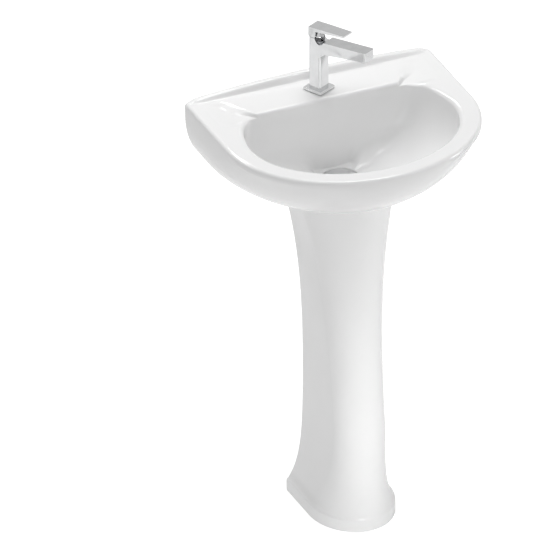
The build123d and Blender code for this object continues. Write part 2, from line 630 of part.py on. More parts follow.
def make_aerator():
    """The housing, its seal and the perforated insert, in the spout's underside."""
    bottom = aerator_place() - AERATOR_PROUD
    bore = AERATOR_RADIUS - AERATOR_WALL
    housing = tube(AERATOR_RADIUS, bore, AERATOR_HEIGHT - AERATOR_SEAL_THICKNESS, bottom, 0, AERATOR_Y)
    seal = tube(AERATOR_RADIUS, bore - AERATOR_WALL, AERATOR_SEAL_THICKNESS,
                bottom + AERATOR_HEIGHT - AERATOR_SEAL_THICKNESS, 0, AERATOR_Y)
    insert = rod(bore, AERATOR_HEIGHT / 2, bottom + AERATOR_HEIGHT / 2 - AERATOR_SEAL_THICKNESS, 0,
                 AERATOR_Y)
    for turn in range(AERATOR_HOLES):
        angle = 2 * math.pi * turn / AERATOR_HOLES
        insert = insert - rod(AERATOR_HOLE_RADIUS, AERATOR_HEIGHT, bottom,
                              AERATOR_HOLE_CIRCLE * math.cos(angle),
                              AERATOR_Y + AERATOR_HOLE_CIRCLE * math.sin(angle))
    return housing, insert, seal


def make_clamp():
    """The threaded shank under the tap, with its washers and nut below the deck."""
    deck_under = -DECK_THICKNESS
    bore = SHANK_RADIUS + THREAD_CLEARANCE
    shank = tube(SHANK_RADIUS, SHANK_BORE, SHANK_LENGTH, BODY_BOTTOM - SHANK_LENGTH)
    rubber = tube(CLAMP_RADIUS, bore, CLAMP_RUBBER_THICKNESS, deck_under - CLAMP_RUBBER_THICKNESS)
    steel_bottom = deck_under - CLAMP_RUBBER_THICKNESS - CLAMP_STEEL_THICKNESS
    steel = tube(CLAMP_RADIUS, bore, CLAMP_STEEL_THICKNESS, steel_bottom)
    nut_bottom = steel_bottom - SHANK_NUT_HEIGHT
    nut = extrude(Location((0, 0, nut_bottom)) * RegularPolygon(SHANK_NUT_FLATS / 2, 6, major_radius=False),
                  SHANK_NUT_HEIGHT)
    return shank, rubber, steel, nut - rod(bore, SHANK_NUT_HEIGHT, nut_bottom)


def make_waste_body():
    """Flange, threaded tube and the spider that guides the stopper."""
    flange = tube(FLANGE_RADIUS, WASTE_BORE, FLANGE_THICKNESS, FLANGE_BOTTOM, 0, WASTE_Y)
    flange = chamfer(flange.faces().sort_by(Axis.Z)[-1].edges(), FLANGE_BEVEL)
    body = flange + tube(WASTE_TUBE_RADIUS, WASTE_BORE, WASTE_LENGTH, WASTE_BOTTOM, 0, WASTE_Y)
    hub = rod(SPIDER_HUB_RADIUS, SPIDER_HEIGHT, SPIDER_TOP - SPIDER_HEIGHT, 0, WASTE_Y)
    arms = block(-WASTE_BORE - FLANGE_BEVEL, WASTE_BORE + FLANGE_BEVEL, WASTE_Y - SPIDER_ARM_WIDTH / 2,
                 WASTE_Y + SPIDER_ARM_WIDTH / 2, SPIDER_TOP - SPIDER_HEIGHT, SPIDER_TOP)
    guide = rod(STOPPER_STEM_RADIUS + RUNNING_FIT, SPIDER_HEIGHT, SPIDER_TOP - SPIDER_HEIGHT, 0, WASTE_Y)
    return body + hub + arms - guide


def make_stopper():
    """The crowned cap and the stem that slides in the spider, turned as one piece."""
    stem_drop = WASTE_SEAT_HEIGHT + BODY_GAP - SPIDER_TOP + SPIDER_HEIGHT + STOPPER_STEM_BELOW_HUB
    crown = STOPPER_EDGE + STOPPER_CROWN
    under = Polyline((0, -stem_drop), (STOPPER_STEM_RADIUS, -stem_drop), (STOPPER_STEM_RADIUS, 0),
                     (STOPPER_RADIUS, 0), (STOPPER_RADIUS, STOPPER_EDGE))
    ball = (STOPPER_RADIUS ** 2 + STOPPER_CROWN ** 2) / (2 * STOPPER_CROWN)
    dome_sweep = math.degrees(math.asin(STOPPER_RADIUS / ball))
    dome = CenterArc((0, crown - ball), ball, 90 - dome_sweep, dome_sweep)
    axis = Line((0, crown), (0, -stem_drop))
    turned = revolve(Plane.XZ * make_face([*under.edges(), dome, axis]), Axis.Z)
    return Location((0, WASTE_Y, WASTE_SEAT_HEIGHT + BODY_GAP)) * turned


def make_stopper_seal():
    return tube(STOPPER_SEAL_RADIUS, STOPPER_STEM_RADIUS, STOPPER_SEAL_HEIGHT,
                WASTE_SEAT_HEIGHT + BODY_GAP - STOPPER_SEAL_HEIGHT, 0, WASTE_Y)


def make_waste_fixings():
    bore = WASTE_TUBE_RADIUS + THREAD_CLEARANCE
    upper = tube(FLANGE_RADIUS, bore, WASTE_GASKET_THICKNESS, FLANGE_BOTTOM - WASTE_GASKET_THICKNESS, 0,
                 WASTE_Y)
    lower_bottom = BOSS_BOTTOM - LOWER_GASKET_THICKNESS
    lower = tube(LOWER_GASKET_RADIUS, bore, LOWER_GASKET_THICKNESS, lower_bottom, 0, WASTE_Y)
    nut_bottom = lower_bottom - WASTE_NUT_HEIGHT
    hexagon = RegularPolygon(WASTE_NUT_FLATS / 2, 6, major_radius=False)
    nut = extrude(Location((0, WASTE_Y, nut_bottom)) * hexagon, WASTE_NUT_HEIGHT)
    return upper, lower, nut - rod(bore, WASTE_NUT_HEIGHT, nut_bottom, 0, WASTE_Y)


def finned(ring, radius, height, bottom):
    """A ring with grip fins around it."""
    for turn in range(TRAP_FIN_COUNT):
        angle = 2 * math.pi * turn / TRAP_FIN_COUNT
        ring = ring + rod(TRAP_FIN_RADIUS, height, bottom, radius * math.cos(angle),
                          WASTE_Y + radius * math.sin(angle))
    return ring


def make_tailpiece():
    """The pipe from the waste down into the trap, seated in the waste's bore by its collar."""
    pipe = tube(PIPE_RADIUS, PIPE_RADIUS - PIPE_WALL, TAIL_LENGTH, TAIL_TOP - TAIL_LENGTH, 0, WASTE_Y)
    return pipe + tube(WASTE_BORE - THREAD_CLEARANCE, PIPE_RADIUS - PIPE_WALL, TAIL_INSERT, WASTE_BOTTOM,
                       0, WASTE_Y)


def make_trap_nut():
    """The nut that closes a washer around the tailpiece, screwed on the trap's neck."""
    bottom = TRAP_TOP_HEIGHT + TRAP_NECK_HEIGHT + TRAP_WASHER_HEIGHT + TRAP_NUT_LIP - TRAP_NUT_HEIGHT
    nut = tube(TRAP_NUT_RADIUS, TRAP_NECK_RADIUS + THREAD_CLEARANCE, TRAP_NUT_HEIGHT - TRAP_NUT_LIP,
               bottom, 0, WASTE_Y)
    cap = tube(TRAP_NUT_RADIUS, PIPE_RADIUS + THREAD_CLEARANCE, TRAP_NUT_LIP,
               bottom + TRAP_NUT_HEIGHT - TRAP_NUT_LIP, 0, WASTE_Y)
    return finned(nut + cap, TRAP_NUT_RADIUS, TRAP_NUT_HEIGHT, bottom)


def make_trap_washer():
    return tube(TRAP_NECK_RADIUS, PIPE_RADIUS + THREAD_CLEARANCE, TRAP_WASHER_HEIGHT,
                TRAP_TOP_HEIGHT + TRAP_NECK_HEIGHT, 0, WASTE_Y)


def make_trap_body():
    """The bottle's upper half: neck, shell and the outlet stub towards the wall."""
    shell = rod(TRAP_RADIUS, TRAP_BODY_HEIGHT, TRAP_BODY_BOTTOM, 0, WASTE_Y)
    neck = rod(TRAP_NECK_RADIUS, TRAP_NECK_HEIGHT, TRAP_TOP_HEIGHT, 0, WASTE_Y)
    stub_end = WASTE_Y + TRAP_RADIUS + TRAP_OUTLET_REACH
    stub = rod_along_y(TRAP_NECK_RADIUS, WASTE_Y, stub_end, TRAP_AXIS_Z)
    hollow = rod(TRAP_RADIUS - TRAP_WALL, TRAP_BODY_HEIGHT - TRAP_WALL, TRAP_BODY_BOTTOM, 0, WASTE_Y)
    throat = rod(PIPE_RADIUS + THREAD_CLEARANCE, TRAP_BODY_HEIGHT + TRAP_NECK_HEIGHT, TRAP_BODY_BOTTOM, 0,
                 WASTE_Y)
    outlet = rod_along_y(PIPE_RADIUS - PIPE_WALL, WASTE_Y, stub_end, TRAP_AXIS_Z)
    return shell + neck + stub - hollow - throat - outlet


def make_trap_cup():
    """The cup that unscrews from below for cleaning, with its seal under the bottle's edge."""
    top = TRAP_BODY_BOTTOM + TRAP_CUP_OVERLAP
    bottom = top - TRAP_CUP_HEIGHT
    cup = rod(TRAP_CUP_RADIUS, TRAP_CUP_HEIGHT, bottom, 0, WASTE_Y)
    screw = rod(TRAP_RADIUS + THREAD_CLEARANCE, TRAP_CUP_HEIGHT, TRAP_BODY_BOTTOM - TRAP_CUP_SEAL_HEIGHT,
                0, WASTE_Y)
    well = rod(TRAP_RADIUS - TRAP_WALL, TRAP_CUP_HEIGHT, bottom + TRAP_WALL, 0, WASTE_Y)
    cup = finned(cup, TRAP_CUP_RADIUS, TRAP_CUP_OVERLAP, TRAP_BODY_BOTTOM)
    seal = tube(TRAP_RADIUS, TRAP_RADIUS - TRAP_WALL, TRAP_CUP_SEAL_HEIGHT,
                TRAP_BODY_BOTTOM - TRAP_CUP_SEAL_HEIGHT,
                0, WASTE_Y)
    return cup - screw - well, seal


def ring_along_y(outer, inner, y_from, y_to):
    """A ring about the trap's outlet axis."""
    return rod_along_y(outer, y_from, y_to, TRAP_AXIS_Z) - rod_along_y(inner, y_from, y_to, TRAP_AXIS_Z)


def make_outlet():
    """The arm to the wall, held to the trap's stub by a washer and nut, with a flange at the wall."""
    stub_end = WASTE_Y + TRAP_RADIUS + TRAP_OUTLET_REACH
    washer_end = stub_end + TRAP_WASHER_HEIGHT
    nut_end = washer_end + TRAP_NUT_LIP
    hole = PIPE_RADIUS + THREAD_CLEARANCE
    washer = ring_along_y(TRAP_NECK_RADIUS, hole, stub_end, washer_end)
    nut = ring_along_y(TRAP_NUT_RADIUS, TRAP_NECK_RADIUS + THREAD_CLEARANCE, nut_end - TRAP_NUT_HEIGHT,
                       washer_end)
    nut = nut + ring_along_y(TRAP_NUT_RADIUS, hole, washer_end, nut_end)
    arm = ring_along_y(PIPE_RADIUS, PIPE_RADIUS - PIPE_WALL, stub_end, WALL_Y)
    flange = ring_along_y(WALL_FLANGE_RADIUS, hole, WALL_Y - WALL_FLANGE_THICKNESS, WALL_Y)
    return washer, nut, arm, flange


def save(name, shape):
    """Write one piece to its own file."""
    shape.label = name
    export_step(shape, f"parts/{name}.step")


os.makedirs("parts", exist_ok=True)
basin_deck, basin_bowl, basin_apron = make_basin()
save("basin_deck", basin_deck)
save("basin_bowl", basin_bowl)
save("basin_apron", basin_apron)
save("pedestal", make_pedestal())

aerator_housing, aerator_insert, aerator_seal = make_aerator()
tap_shank, clamp_rubber_washer, clamp_steel_washer, shank_nut = make_clamp()
tap_column, tap_spout, inlet_block_left, inlet_block_right = make_tap_body()
tap_pieces = {
    "tap_column": tap_column,
    "tap_spout": tap_spout,
    "inlet_block_left": inlet_block_left,
    "inlet_block_right": inlet_block_right,
    "tap_base_plate": make_base_plate(),
    "tap_base_gasket": make_base_gasket(),
    "cartridge_body": make_cartridge_body(),
    "cartridge_seal": make_cartridge_seal(),
    "retaining_ring": make_retaining_ring(),
    "lever_turret": make_turret(),
    "cartridge_stem": make_stem(),
    "tap_lever": make_lever(),
    "lever_pin": make_lever_pin(),
    "aerator_housing": aerator_housing,
    "aerator_insert": aerator_insert,
    "aerator_seal": aerator_seal,
    "tap_shank": tap_shank,
    "clamp_rubber_washer": clamp_rubber_washer,
    "clamp_steel_washer": clamp_steel_washer,
    "shank_nut": shank_nut,
}
for name, piece in tap_pieces.items():
    save(name, tap_place * piece)

upper_waste_gasket, lower_waste_gasket, waste_nut = make_waste_fixings()
trap_cup, trap_cup_seal = make_trap_cup()
outlet_washer, outlet_nut, trap_arm, wall_flange = make_outlet()
drain_pieces = {
    "waste_body": make_waste_body(),
    "waste_stopper": make_stopper(),
    "stopper_seal": make_stopper_seal(),
    "upper_waste_gasket": upper_waste_gasket,
    "lower_waste_gasket": lower_waste_gasket,
    "waste_nut": waste_nut,
    "tailpiece": make_tailpiece(),
    "trap_inlet_nut": make_trap_nut(),
    "trap_inlet_washer": make_trap_washer(),
    "trap_body": make_trap_body(),
    "trap_cup": trap_cup,
    "trap_cup_seal": trap_cup_seal,
    "outlet_washer": outlet_washer,
    "outlet_nut": outlet_nut,
    "trap_arm": trap_arm,
    "wall_flange": wall_flange,
}
for name, piece in drain_pieces.items():
    save(name, piece)
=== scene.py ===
"""Looks of a white ceramic pedestal sink with a chrome single-lever tap."""

import json
import math

import bmesh
import bpy
import numpy as np
from mathutils import Matrix, Vector


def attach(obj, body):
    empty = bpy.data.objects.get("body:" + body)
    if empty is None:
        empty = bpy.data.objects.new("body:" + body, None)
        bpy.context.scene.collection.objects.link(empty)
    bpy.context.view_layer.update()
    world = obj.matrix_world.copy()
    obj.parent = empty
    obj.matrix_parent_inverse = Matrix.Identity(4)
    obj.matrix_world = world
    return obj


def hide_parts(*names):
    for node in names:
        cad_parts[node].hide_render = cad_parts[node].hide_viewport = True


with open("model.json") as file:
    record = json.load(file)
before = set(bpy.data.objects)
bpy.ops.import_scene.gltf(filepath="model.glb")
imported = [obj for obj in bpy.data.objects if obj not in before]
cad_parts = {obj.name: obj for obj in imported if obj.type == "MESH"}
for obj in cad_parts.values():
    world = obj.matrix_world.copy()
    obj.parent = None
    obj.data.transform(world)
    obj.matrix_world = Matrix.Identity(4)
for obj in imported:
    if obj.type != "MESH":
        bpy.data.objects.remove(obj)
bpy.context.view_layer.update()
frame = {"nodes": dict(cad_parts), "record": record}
MM = 0.001

# Basin outside, in millimetres, as in the CAD
RIM = 826.0
UNDERSIDE = 688.0
HALF = 250.0
WALL_Y = 206.0
FRONT_Y = -206.0
SIDE_END_Y = 11.0
SKIRT = 12.0
RIM_ROUND = 7.0
REAR_CORNER_POWER = 60.0
UNDERSIDE_HALF = 134.0
UNDERSIDE_FRONT_INSET = 120.0
UNDERSIDE_EDGE = 4.0
BELLY_SIDE_POWER = 2.6
BELLY_FRONT_POWER = 1.8
BELLY_STRAIGHT_LOSS = 165.0
BELLY_LOSS_POWER = 0.77
BOSS_RINGS = ((23, 676), (49, 676), (50, 677), (50, UNDERSIDE), (60, UNDERSIDE))

# Bowl and waste well
BOWL_Y = -4.0
BOWL_FLOOR = 700.0
BOWL_POWER = 2.1
BOWL_FOOT_RADIUS = 46
BOWL_SPREAD_X = 158
BOWL_SPREAD_Y = 116
BOWL_BACK_Y = 108.0
BOWL_BACK_LEAN = 17.7
BOWL_BACK_SQUARENESS = 0.25
BOWL_BACK_TURN = 0.4
BACK_CORNER_POWER = 46
BACK_CORNER_SOFTENING = 34
BACK_CORNER_RATE = 1.6
BOWL_ROUND = 9.0
BACK_FOOT_ROUND = 36.0
BACK_FOOT_FROM_X = 34
BACK_FOOT_FADE = 40
WASTE_Y = 51.0
WELL_MOUTH = 37.0
WELL_DEPTH = 12.0
FUNNEL_RADIUS = 95
FUNNEL_WIDTH = 60
FUNNEL_FROM_SHARE = 0.5
FUNNEL_FADE = 0.4
WELL_RINGS = ((36.6, 688.9), (35.4, 688.5), (34.6, 688.0), (34.2, 687.0), (34.2, 683.6), (23, 683.4))

# Raised lip along the wall
LIP_END_RISE = 4
LIP_ARCH_RISE = 10
LIP_ARCH_HALF = 235
LIP_HALF = 243
LIP_END_FADE = 16
LIP_FOOT = 19
LIP_SLOPE = 8

# Soap shelves beside the tap deck
SHELF_DEPTH = 8
SHELF_INNER_X = 146
SHELF_OUTER_X = 224
SHELF_SPLAY = 0.47
SHELF_EDGE_START = 1.5
SHELF_EDGE_WIDTH = 5
SHELF_EDGE_GROWTH = 30
SHELF_EDGE_GROWTH_Y = 112
SHELF_BACK_Y = 187
SHELF_BACK_FADE = 24
SHELF_FRONT_Y = 82
SHELF_FRONT_FADE = 22

# Service window in the basin's back and the room behind it
WINDOW_HALF = 170.0
WINDOW_LOW = 701.0
WINDOW_TOP = 760.0
WINDOW_WALL = 12.0
POCKET_HALF = 176.0
POCKET_FRONT_Y = 124.0
POCKET_LOW = 700.0
POCKET_TOP = 804.0

# Pedestal: height, half width and front of each plinth ring, then the column above it
PLINTH_RINGS = ((0, 82.6, -88.6), (1.2, 83, -89), (22, 83, -89),
                (24, 82.6, -88.9), (25.4, 81.8, -88.6), (26, 80.8, -88.3))
PLINTH_TOP = 26
COLUMN_START = 26.4
WAIST_HEIGHT = 200
WAIST_HALF = 49.5
FOOT_FLARE = 30.5
FOOT_FLARE_HEIGHT = 45
TOP_FLARE = 49.5
NOSE_CENTRE_Y = (10, -30, 40)
NOSE_FRONT_Y = (-88, -80, -58)
PEDESTAL_BACK_Y = 111.0
PEDESTAL_WALL = 12.0
HOLLOW_HALF_LIMIT = 76

# How finely the meshes are divided
TURN_STEP = 0.6
FINE_TURN_STEP = 0.3
FINE_TURNS = (33.0, 47.0)
CORNER_TURNS = (-2.6, -1.9, -1.4, -1.0, -0.7, -0.45, -0.25, -0.1,
                0, 0.1, 0.25, 0.45, 0.7, 1.0, 1.4, 1.9)
WINDOW_TURN_ROOM = 0.15
WINDOW_SHARE_ROOM = 0.004
BELLY_STEPS = 26
RIM_STEPS = 8
DECK_STEPS = 44
BOWL_EDGE_STEPS = 7
BOWL_STEPS = 32
COLUMN_STEPS = 60
COLUMN_STEP_POWER = 1.5
SIDE_POINTS = 14
NOSE_POINTS = 73
NEARLY_SIDEWAYS = 1e-4
FAR_AWAY = 1e5
DEEPEST_SHARE = 0.9999
SHARP_ANGLE = math.radians(50)


def smooth(t):
    t = np.clip(t, 0.0, 1.0)
    return t * t * (3 - 2 * t)


# Materials
def new_material(name):
    mat = bpy.data.materials.new(name)
    mat.use_nodes = True
    nodes = mat.node_tree.nodes
    return mat, nodes, mat.node_tree.links, nodes["Principled BSDF"]


def noise_node(nodes, links, scale, detail):
    where = nodes.new("ShaderNodeTexCoord")
    noise = nodes.new("ShaderNodeTexNoise")
    noise.inputs["Scale"].default_value = scale
    noise.inputs["Detail"].default_value = detail
    links.new(where.outputs["Object"], noise.inputs["Vector"])
    return noise


def add_range(nodes, links, source, low, high, target):
    spread = nodes.new("ShaderNodeMapRange")
    spread.inputs["To Min"].default_value = low
    spread.inputs["To Max"].default_value = high
    links.new(source, spread.inputs["Value"])
    links.new(spread.outputs["Result"], target)


def add_ramp(nodes, links, source, first, second, target):
    """A colour ramp between two (position, colour) ends."""
    ramp = nodes.new("ShaderNodeValToRGB")
    for element, (position, color) in zip(ramp.color_ramp.elements, (first, second)):
        element.position = position
        element.color = (*color, 1)
    links.new(source, ramp.inputs["Fac"])
    links.new(ramp.outputs["Color"], target)


def add_bump(nodes, links, source, strength, distance, shader):
    bump = nodes.new("ShaderNodeBump")
    bump.inputs["Strength"].default_value = strength
    bump.inputs["Distance"].default_value = distance
    links.new(source, bump.inputs["Height"])
    links.new(bump.outputs["Normal"], shader.inputs["Normal"])


def surface(name, first, second, rough, metallic=0.0, scale=40.0, bump=0.0):
    """A material whose colour and roughness drift between two values with a noise."""
    mat, nodes, links, shader = new_material(name)
    noise = noise_node(nodes, links, scale, 3.0).outputs["Fac"]
    add_ramp(nodes, links, noise, (0.35, first), (0.65, second), shader.inputs["Base Color"])
    add_range(nodes, links, noise, rough[0], rough[1], shader.inputs["Roughness"])
    shader.inputs["Metallic"].default_value = metallic
    if bump:
        add_bump(nodes, links, noise, bump, 0.0004, shader)
    return mat


glaze = surface("white_glaze", (0.835, 0.835, 0.835), (0.85, 0.85, 0.85), (0.06, 0.11),
                scale=9.0, bump=0.02)
chrome = surface("chrome", (0.79, 0.795, 0.80), (0.83, 0.835, 0.84), (0.05, 0.09),
                 metallic=1.0, scale=60.0)
dark_chrome = surface("dark_chrome", (0.10, 0.10, 0.105), (0.14, 0.14, 0.145), (0.08, 0.14),
                      metallic=1.0, scale=60.0)
brass = surface("brass", (0.62, 0.45, 0.18), (0.70, 0.53, 0.24), (0.22, 0.36),
                metallic=1.0, scale=180.0, bump=0.06)
steel = surface("steel", (0.50, 0.50, 0.51), (0.58, 0.58, 0.59), (0.25, 0.40),
                metallic=1.0, scale=220.0, bump=0.05)
inner_plastic = surface("cartridge_plastic", (0.60, 0.62, 0.64), (0.66, 0.68, 0.70), (0.40, 0.55),
                        scale=150.0, bump=0.04)
trap_plastic = surface("trap_plastic", (0.78, 0.78, 0.77), (0.82, 0.82, 0.81), (0.28, 0.40),
                       scale=90.0, bump=0.05)
rubber = surface("rubber", (0.018, 0.018, 0.019), (0.032, 0.032, 0.033), (0.60, 0.80),
                 scale=300.0, bump=0.12)
SLOT_MATERIALS = {"glaze": glaze, "chrome": chrome, "brass": brass, "steel": steel,
                  "cartridge_plastic": inner_plastic, "trap_plastic": trap_plastic, "rubber": rubber}


def paint(obj, mat):
    obj.data.materials.clear()
    obj.data.materials.append(mat)


for part in frame["record"]["subparts"]:
    paint(frame["nodes"][part["node"]], SLOT_MATERIALS[part["material_slot"]])
for name in ("retaining_ring", "cartridge_stem"):
    paint(frame["nodes"][name], dark_chrome)


# Meshes from rings of points
def ring_faces(count, rows, loop=True):
    """Faces over rings of equal length, with the last ring joined to the first."""
    faces = []
    for row in range(rows):
        here = row * count
        there = ((row + 1) % rows) * count
        for col in range(count if loop else count - 1):
            after = (col + 1) % count
            faces.append((here + col, here + after, there + after, there + col))
    return faces


def glazed_piece(name, points, faces, replaced):
    """A glazed mesh in millimetres that stands in for the named solids."""
    mesh = bpy.data.meshes.new(name)
    mesh.from_pydata((np.asarray(points) * MM).tolist(), [], faces)
    solid = bmesh.new()
    solid.from_mesh(mesh)
    bmesh.ops.recalc_face_normals(solid, faces=solid.faces)
    solid.to_mesh(mesh)
    solid.free()
    mesh.shade_smooth()
    mesh.set_sharp_from_angle(angle=SHARP_ANGLE)
    obj = bpy.data.objects.new(name, mesh)
    bpy.context.scene.collection.objects.link(obj)
    obj.data.materials.append(glaze)
    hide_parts(*replaced)
    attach(obj, "root")


def soft_min(first, second, power):
    return (first ** -power + second ** -power) ** (-1 / power)


def reach_to_back(back, centre, dy):
    """How far each direction goes before it meets a straight back, or a long way where it never does."""
    return np.where(dy > NEARLY_SIDEWAYS, (back - centre) / np.maximum(dy, NEARLY_SIDEWAYS), FAR_AWAY)


def d_ring(angles, half, front, back, height, side_end=SIDE_END_Y):
    """The basin's plan outline at a height: straight back and sides and a half-ellipse front."""
    dx, dy = np.cos(angles), np.sin(angles)
    side = half / np.maximum(np.abs(dx), 1e-6)
    deep = side_end - front
    a = (dx / half) ** 2 + (dy / deep) ** 2
    b = 2 * (BOWL_Y - side_end) * dy / deep ** 2
    c = ((BOWL_Y - side_end) / deep) ** 2 - 1
    nose = (-b + np.sqrt(b * b - 4 * a * c)) / (2 * a)
    reach = np.where(BOWL_Y + side * dy >= side_end, side, nose)
    reach = soft_min(reach, reach_to_back(back, BOWL_Y, dy), REAR_CORNER_POWER)
    height = np.broadcast_to(height, angles.shape)
    return np.stack([reach * dx, BOWL_Y + reach * dy, height], 1)


def bowl_ring(angles, share, grow, height):
    """The bowl's outline at a share of its depth: an oval with a nearly flat back, dipping to the waste."""
    dx, dy = np.cos(angles), np.sin(angles)
    spread = (1 - share ** BOWL_POWER) ** (1 / BOWL_POWER)
    half_x = BOWL_FOOT_RADIUS + BOWL_SPREAD_X * spread
    half_y = BOWL_FOOT_RADIUS + BOWL_SPREAD_Y * spread
    centre = WASTE_Y + (BOWL_Y - WASTE_Y) * spread
    power = 2 + BOWL_BACK_SQUARENESS * smooth(dy / BOWL_BACK_TURN)
    reach = ((np.abs(dx) / half_x) ** power + (np.abs(dy) / half_y) ** power) ** (-1 / power)
    sunk = max(0.0, BACK_FOOT_ROUND - (RIM - BOWL_FLOOR) * (1 - share))
    foot = BACK_FOOT_ROUND - math.sqrt(BACK_FOOT_ROUND ** 2 - sunk ** 2)
    back = BOWL_BACK_Y - BOWL_BACK_LEAN * share
    beside = np.abs((back - centre) * dx / np.maximum(dy, NEARLY_SIDEWAYS))
    back = back - foot * smooth((beside - BACK_FOOT_FROM_X) / BACK_FOOT_FADE)
    corner = BACK_CORNER_POWER - BACK_CORNER_SOFTENING * min(1.0, share * BACK_CORNER_RATE)
    reach = soft_min(reach, reach_to_back(back, centre, dy), corner) + grow
    ring = np.stack([reach * dx, centre + reach * dy, np.broadcast_to(height, angles.shape)], 1)
    away = ring[:, :2] - np.array([0, WASTE_Y])
    distance = np.linalg.norm(away, axis=1)
    ring[:, :2] += away * (np.maximum(0, WELL_MOUTH - distance) / distance)[:, None]
    deep = smooth((share - FUNNEL_FROM_SHARE) / FUNNEL_FADE)
    ring[:, 2] -= WELL_DEPTH * smooth((FUNNEL_RADIUS - distance) / FUNNEL_WIDTH) * deep
    return ring


def round_ring(angles, radius, height):
    height = np.broadcast_to(height, angles.shape)
    return np.stack([radius * np.cos(angles), WASTE_Y + radius * np.sin(angles), height], 1)


def lip_rise(points):
    """The raised lip along the wall, with an arched crest that dies away at its ends."""
    x, back = points[:, 0], WALL_Y - points[:, 1]
    crest = LIP_END_RISE + LIP_ARCH_RISE * (1 - (x / LIP_ARCH_HALF) ** 2)
    crest = crest * smooth((LIP_HALF - np.abs(x)) / LIP_END_FADE)
    return np.maximum(crest, 0) * smooth((LIP_FOOT - back) / LIP_SLOPE)


def shelf_drop(points):
    """The soap shelves beside the tap deck, deepest at the deck's foot and level with the side rim outside."""
    x, y = np.abs(points[:, 0]), points[:, 1]
    inside = SHELF_INNER_X + SHELF_SPLAY * np.maximum(y - BOWL_BACK_Y, 0)
    depth = SHELF_DEPTH * np.clip((SHELF_OUTER_X - x) / (SHELF_OUTER_X - SHELF_INNER_X), 0, 1)
    width = SHELF_EDGE_WIDTH + SHELF_EDGE_GROWTH * smooth((y - SHELF_EDGE_GROWTH_Y) / SHELF_EDGE_GROWTH)
    drop = depth * smooth((x - inside + SHELF_EDGE_START) / width)
    drop = drop * smooth((SHELF_BACK_Y - y) / SHELF_BACK_FADE)
    return drop * smooth((y - SHELF_FRONT_Y) / SHELF_FRONT_FADE)


def basin_turns(window_turn):
    """The directions of the basin's points, close together at the corners and exact at the window's sides."""
    corner = math.degrees(math.atan2(WALL_Y - BOWL_Y, HALF))
    fine = [corner + turn for turn in CORNER_TURNS] + list(np.arange(*FINE_TURNS, FINE_TURN_STEP))
    degrees = set(np.round(np.arange(-180, 180, TURN_STEP), 3))
    degrees |= set(np.round(fine, 3)) | set(np.round([180 - turn for turn in fine], 3))
    sides = (window_turn, 180 - window_turn)
    degrees = {turn for turn in degrees if min(abs(turn - side) for side in sides) > WINDOW_TURN_ROOM}
    return np.radians(np.array(sorted(degrees | set(sides))))


def belly_rings(angles, shares):
    drop = RIM - SKIRT - UNDERSIDE
    rings = []
    for share in shares:
        swell = (1 - share ** BELLY_SIDE_POWER) ** (1 / BELLY_SIDE_POWER)
        half = UNDERSIDE_HALF + (HALF - UNDERSIDE_HALF) * swell
        front = FRONT_Y + UNDERSIDE_FRONT_INSET * share ** BELLY_FRONT_POWER
        side_end = SIDE_END_Y + BELLY_STRAIGHT_LOSS * share ** BELLY_LOSS_POWER
        rings.append(d_ring(angles, half, front, WALL_Y, RIM - SKIRT - drop * share, side_end))
    return rings


def rim_rings(angles):
    """The rounded outer edge, the deck with its lip and shelves, and the bowl's rounded edge."""
    rings = []
    for step in range(RIM_STEPS + 1):
        turn = math.pi / 2 * step / RIM_STEPS
        inset = RIM_ROUND * (1 - math.cos(turn))
        height = RIM - RIM_ROUND + RIM_ROUND * math.sin(turn)
        ring = d_ring(angles, HALF - inset, FRONT_Y + inset, WALL_Y - inset / 3, height)
        ring[:, 2] += lip_rise(ring) * math.sin(turn)
        rings.append(ring)
    outer = d_ring(angles, HALF - RIM_ROUND, FRONT_Y + RIM_ROUND, WALL_Y - RIM_ROUND / 3, RIM)
    inner = bowl_ring(angles, 0.0, BOWL_ROUND, RIM)
    for step in range(1, DECK_STEPS + 1):
        ring = outer + (inner - outer) * (step / DECK_STEPS)
        ring[:, 2] = RIM + lip_rise(ring) - shelf_drop(ring)
        rings.append(ring)
    for step in range(1, BOWL_EDGE_STEPS + 1):
        turn = math.pi / 2 * step / BOWL_EDGE_STEPS
        height = RIM - BOWL_ROUND * (1 - math.cos(turn))
        ring = bowl_ring(angles, 0.0, BOWL_ROUND * (1 - math.sin(turn)), height)
        ring[:, 2] -= shelf_drop(inner) * math.cos(turn)
        rings.append(ring)
    return rings


def bowl_rings(angles):
    """The bowl's inside, down to the seat of the waste."""
    depth = RIM - BOWL_FLOOR
    first = math.asin(BOWL_ROUND / depth)
    rings = []
    for step in range(1, BOWL_STEPS + 1):
        share = math.sin(first + (math.pi / 2 - first) * step / BOWL_STEPS)
        rings.append(bowl_ring(angles, min(share, DEEPEST_SHARE), 0.0, RIM - depth * share))
    return rings + [round_ring(angles, radius, height) for radius, height in WELL_RINGS]


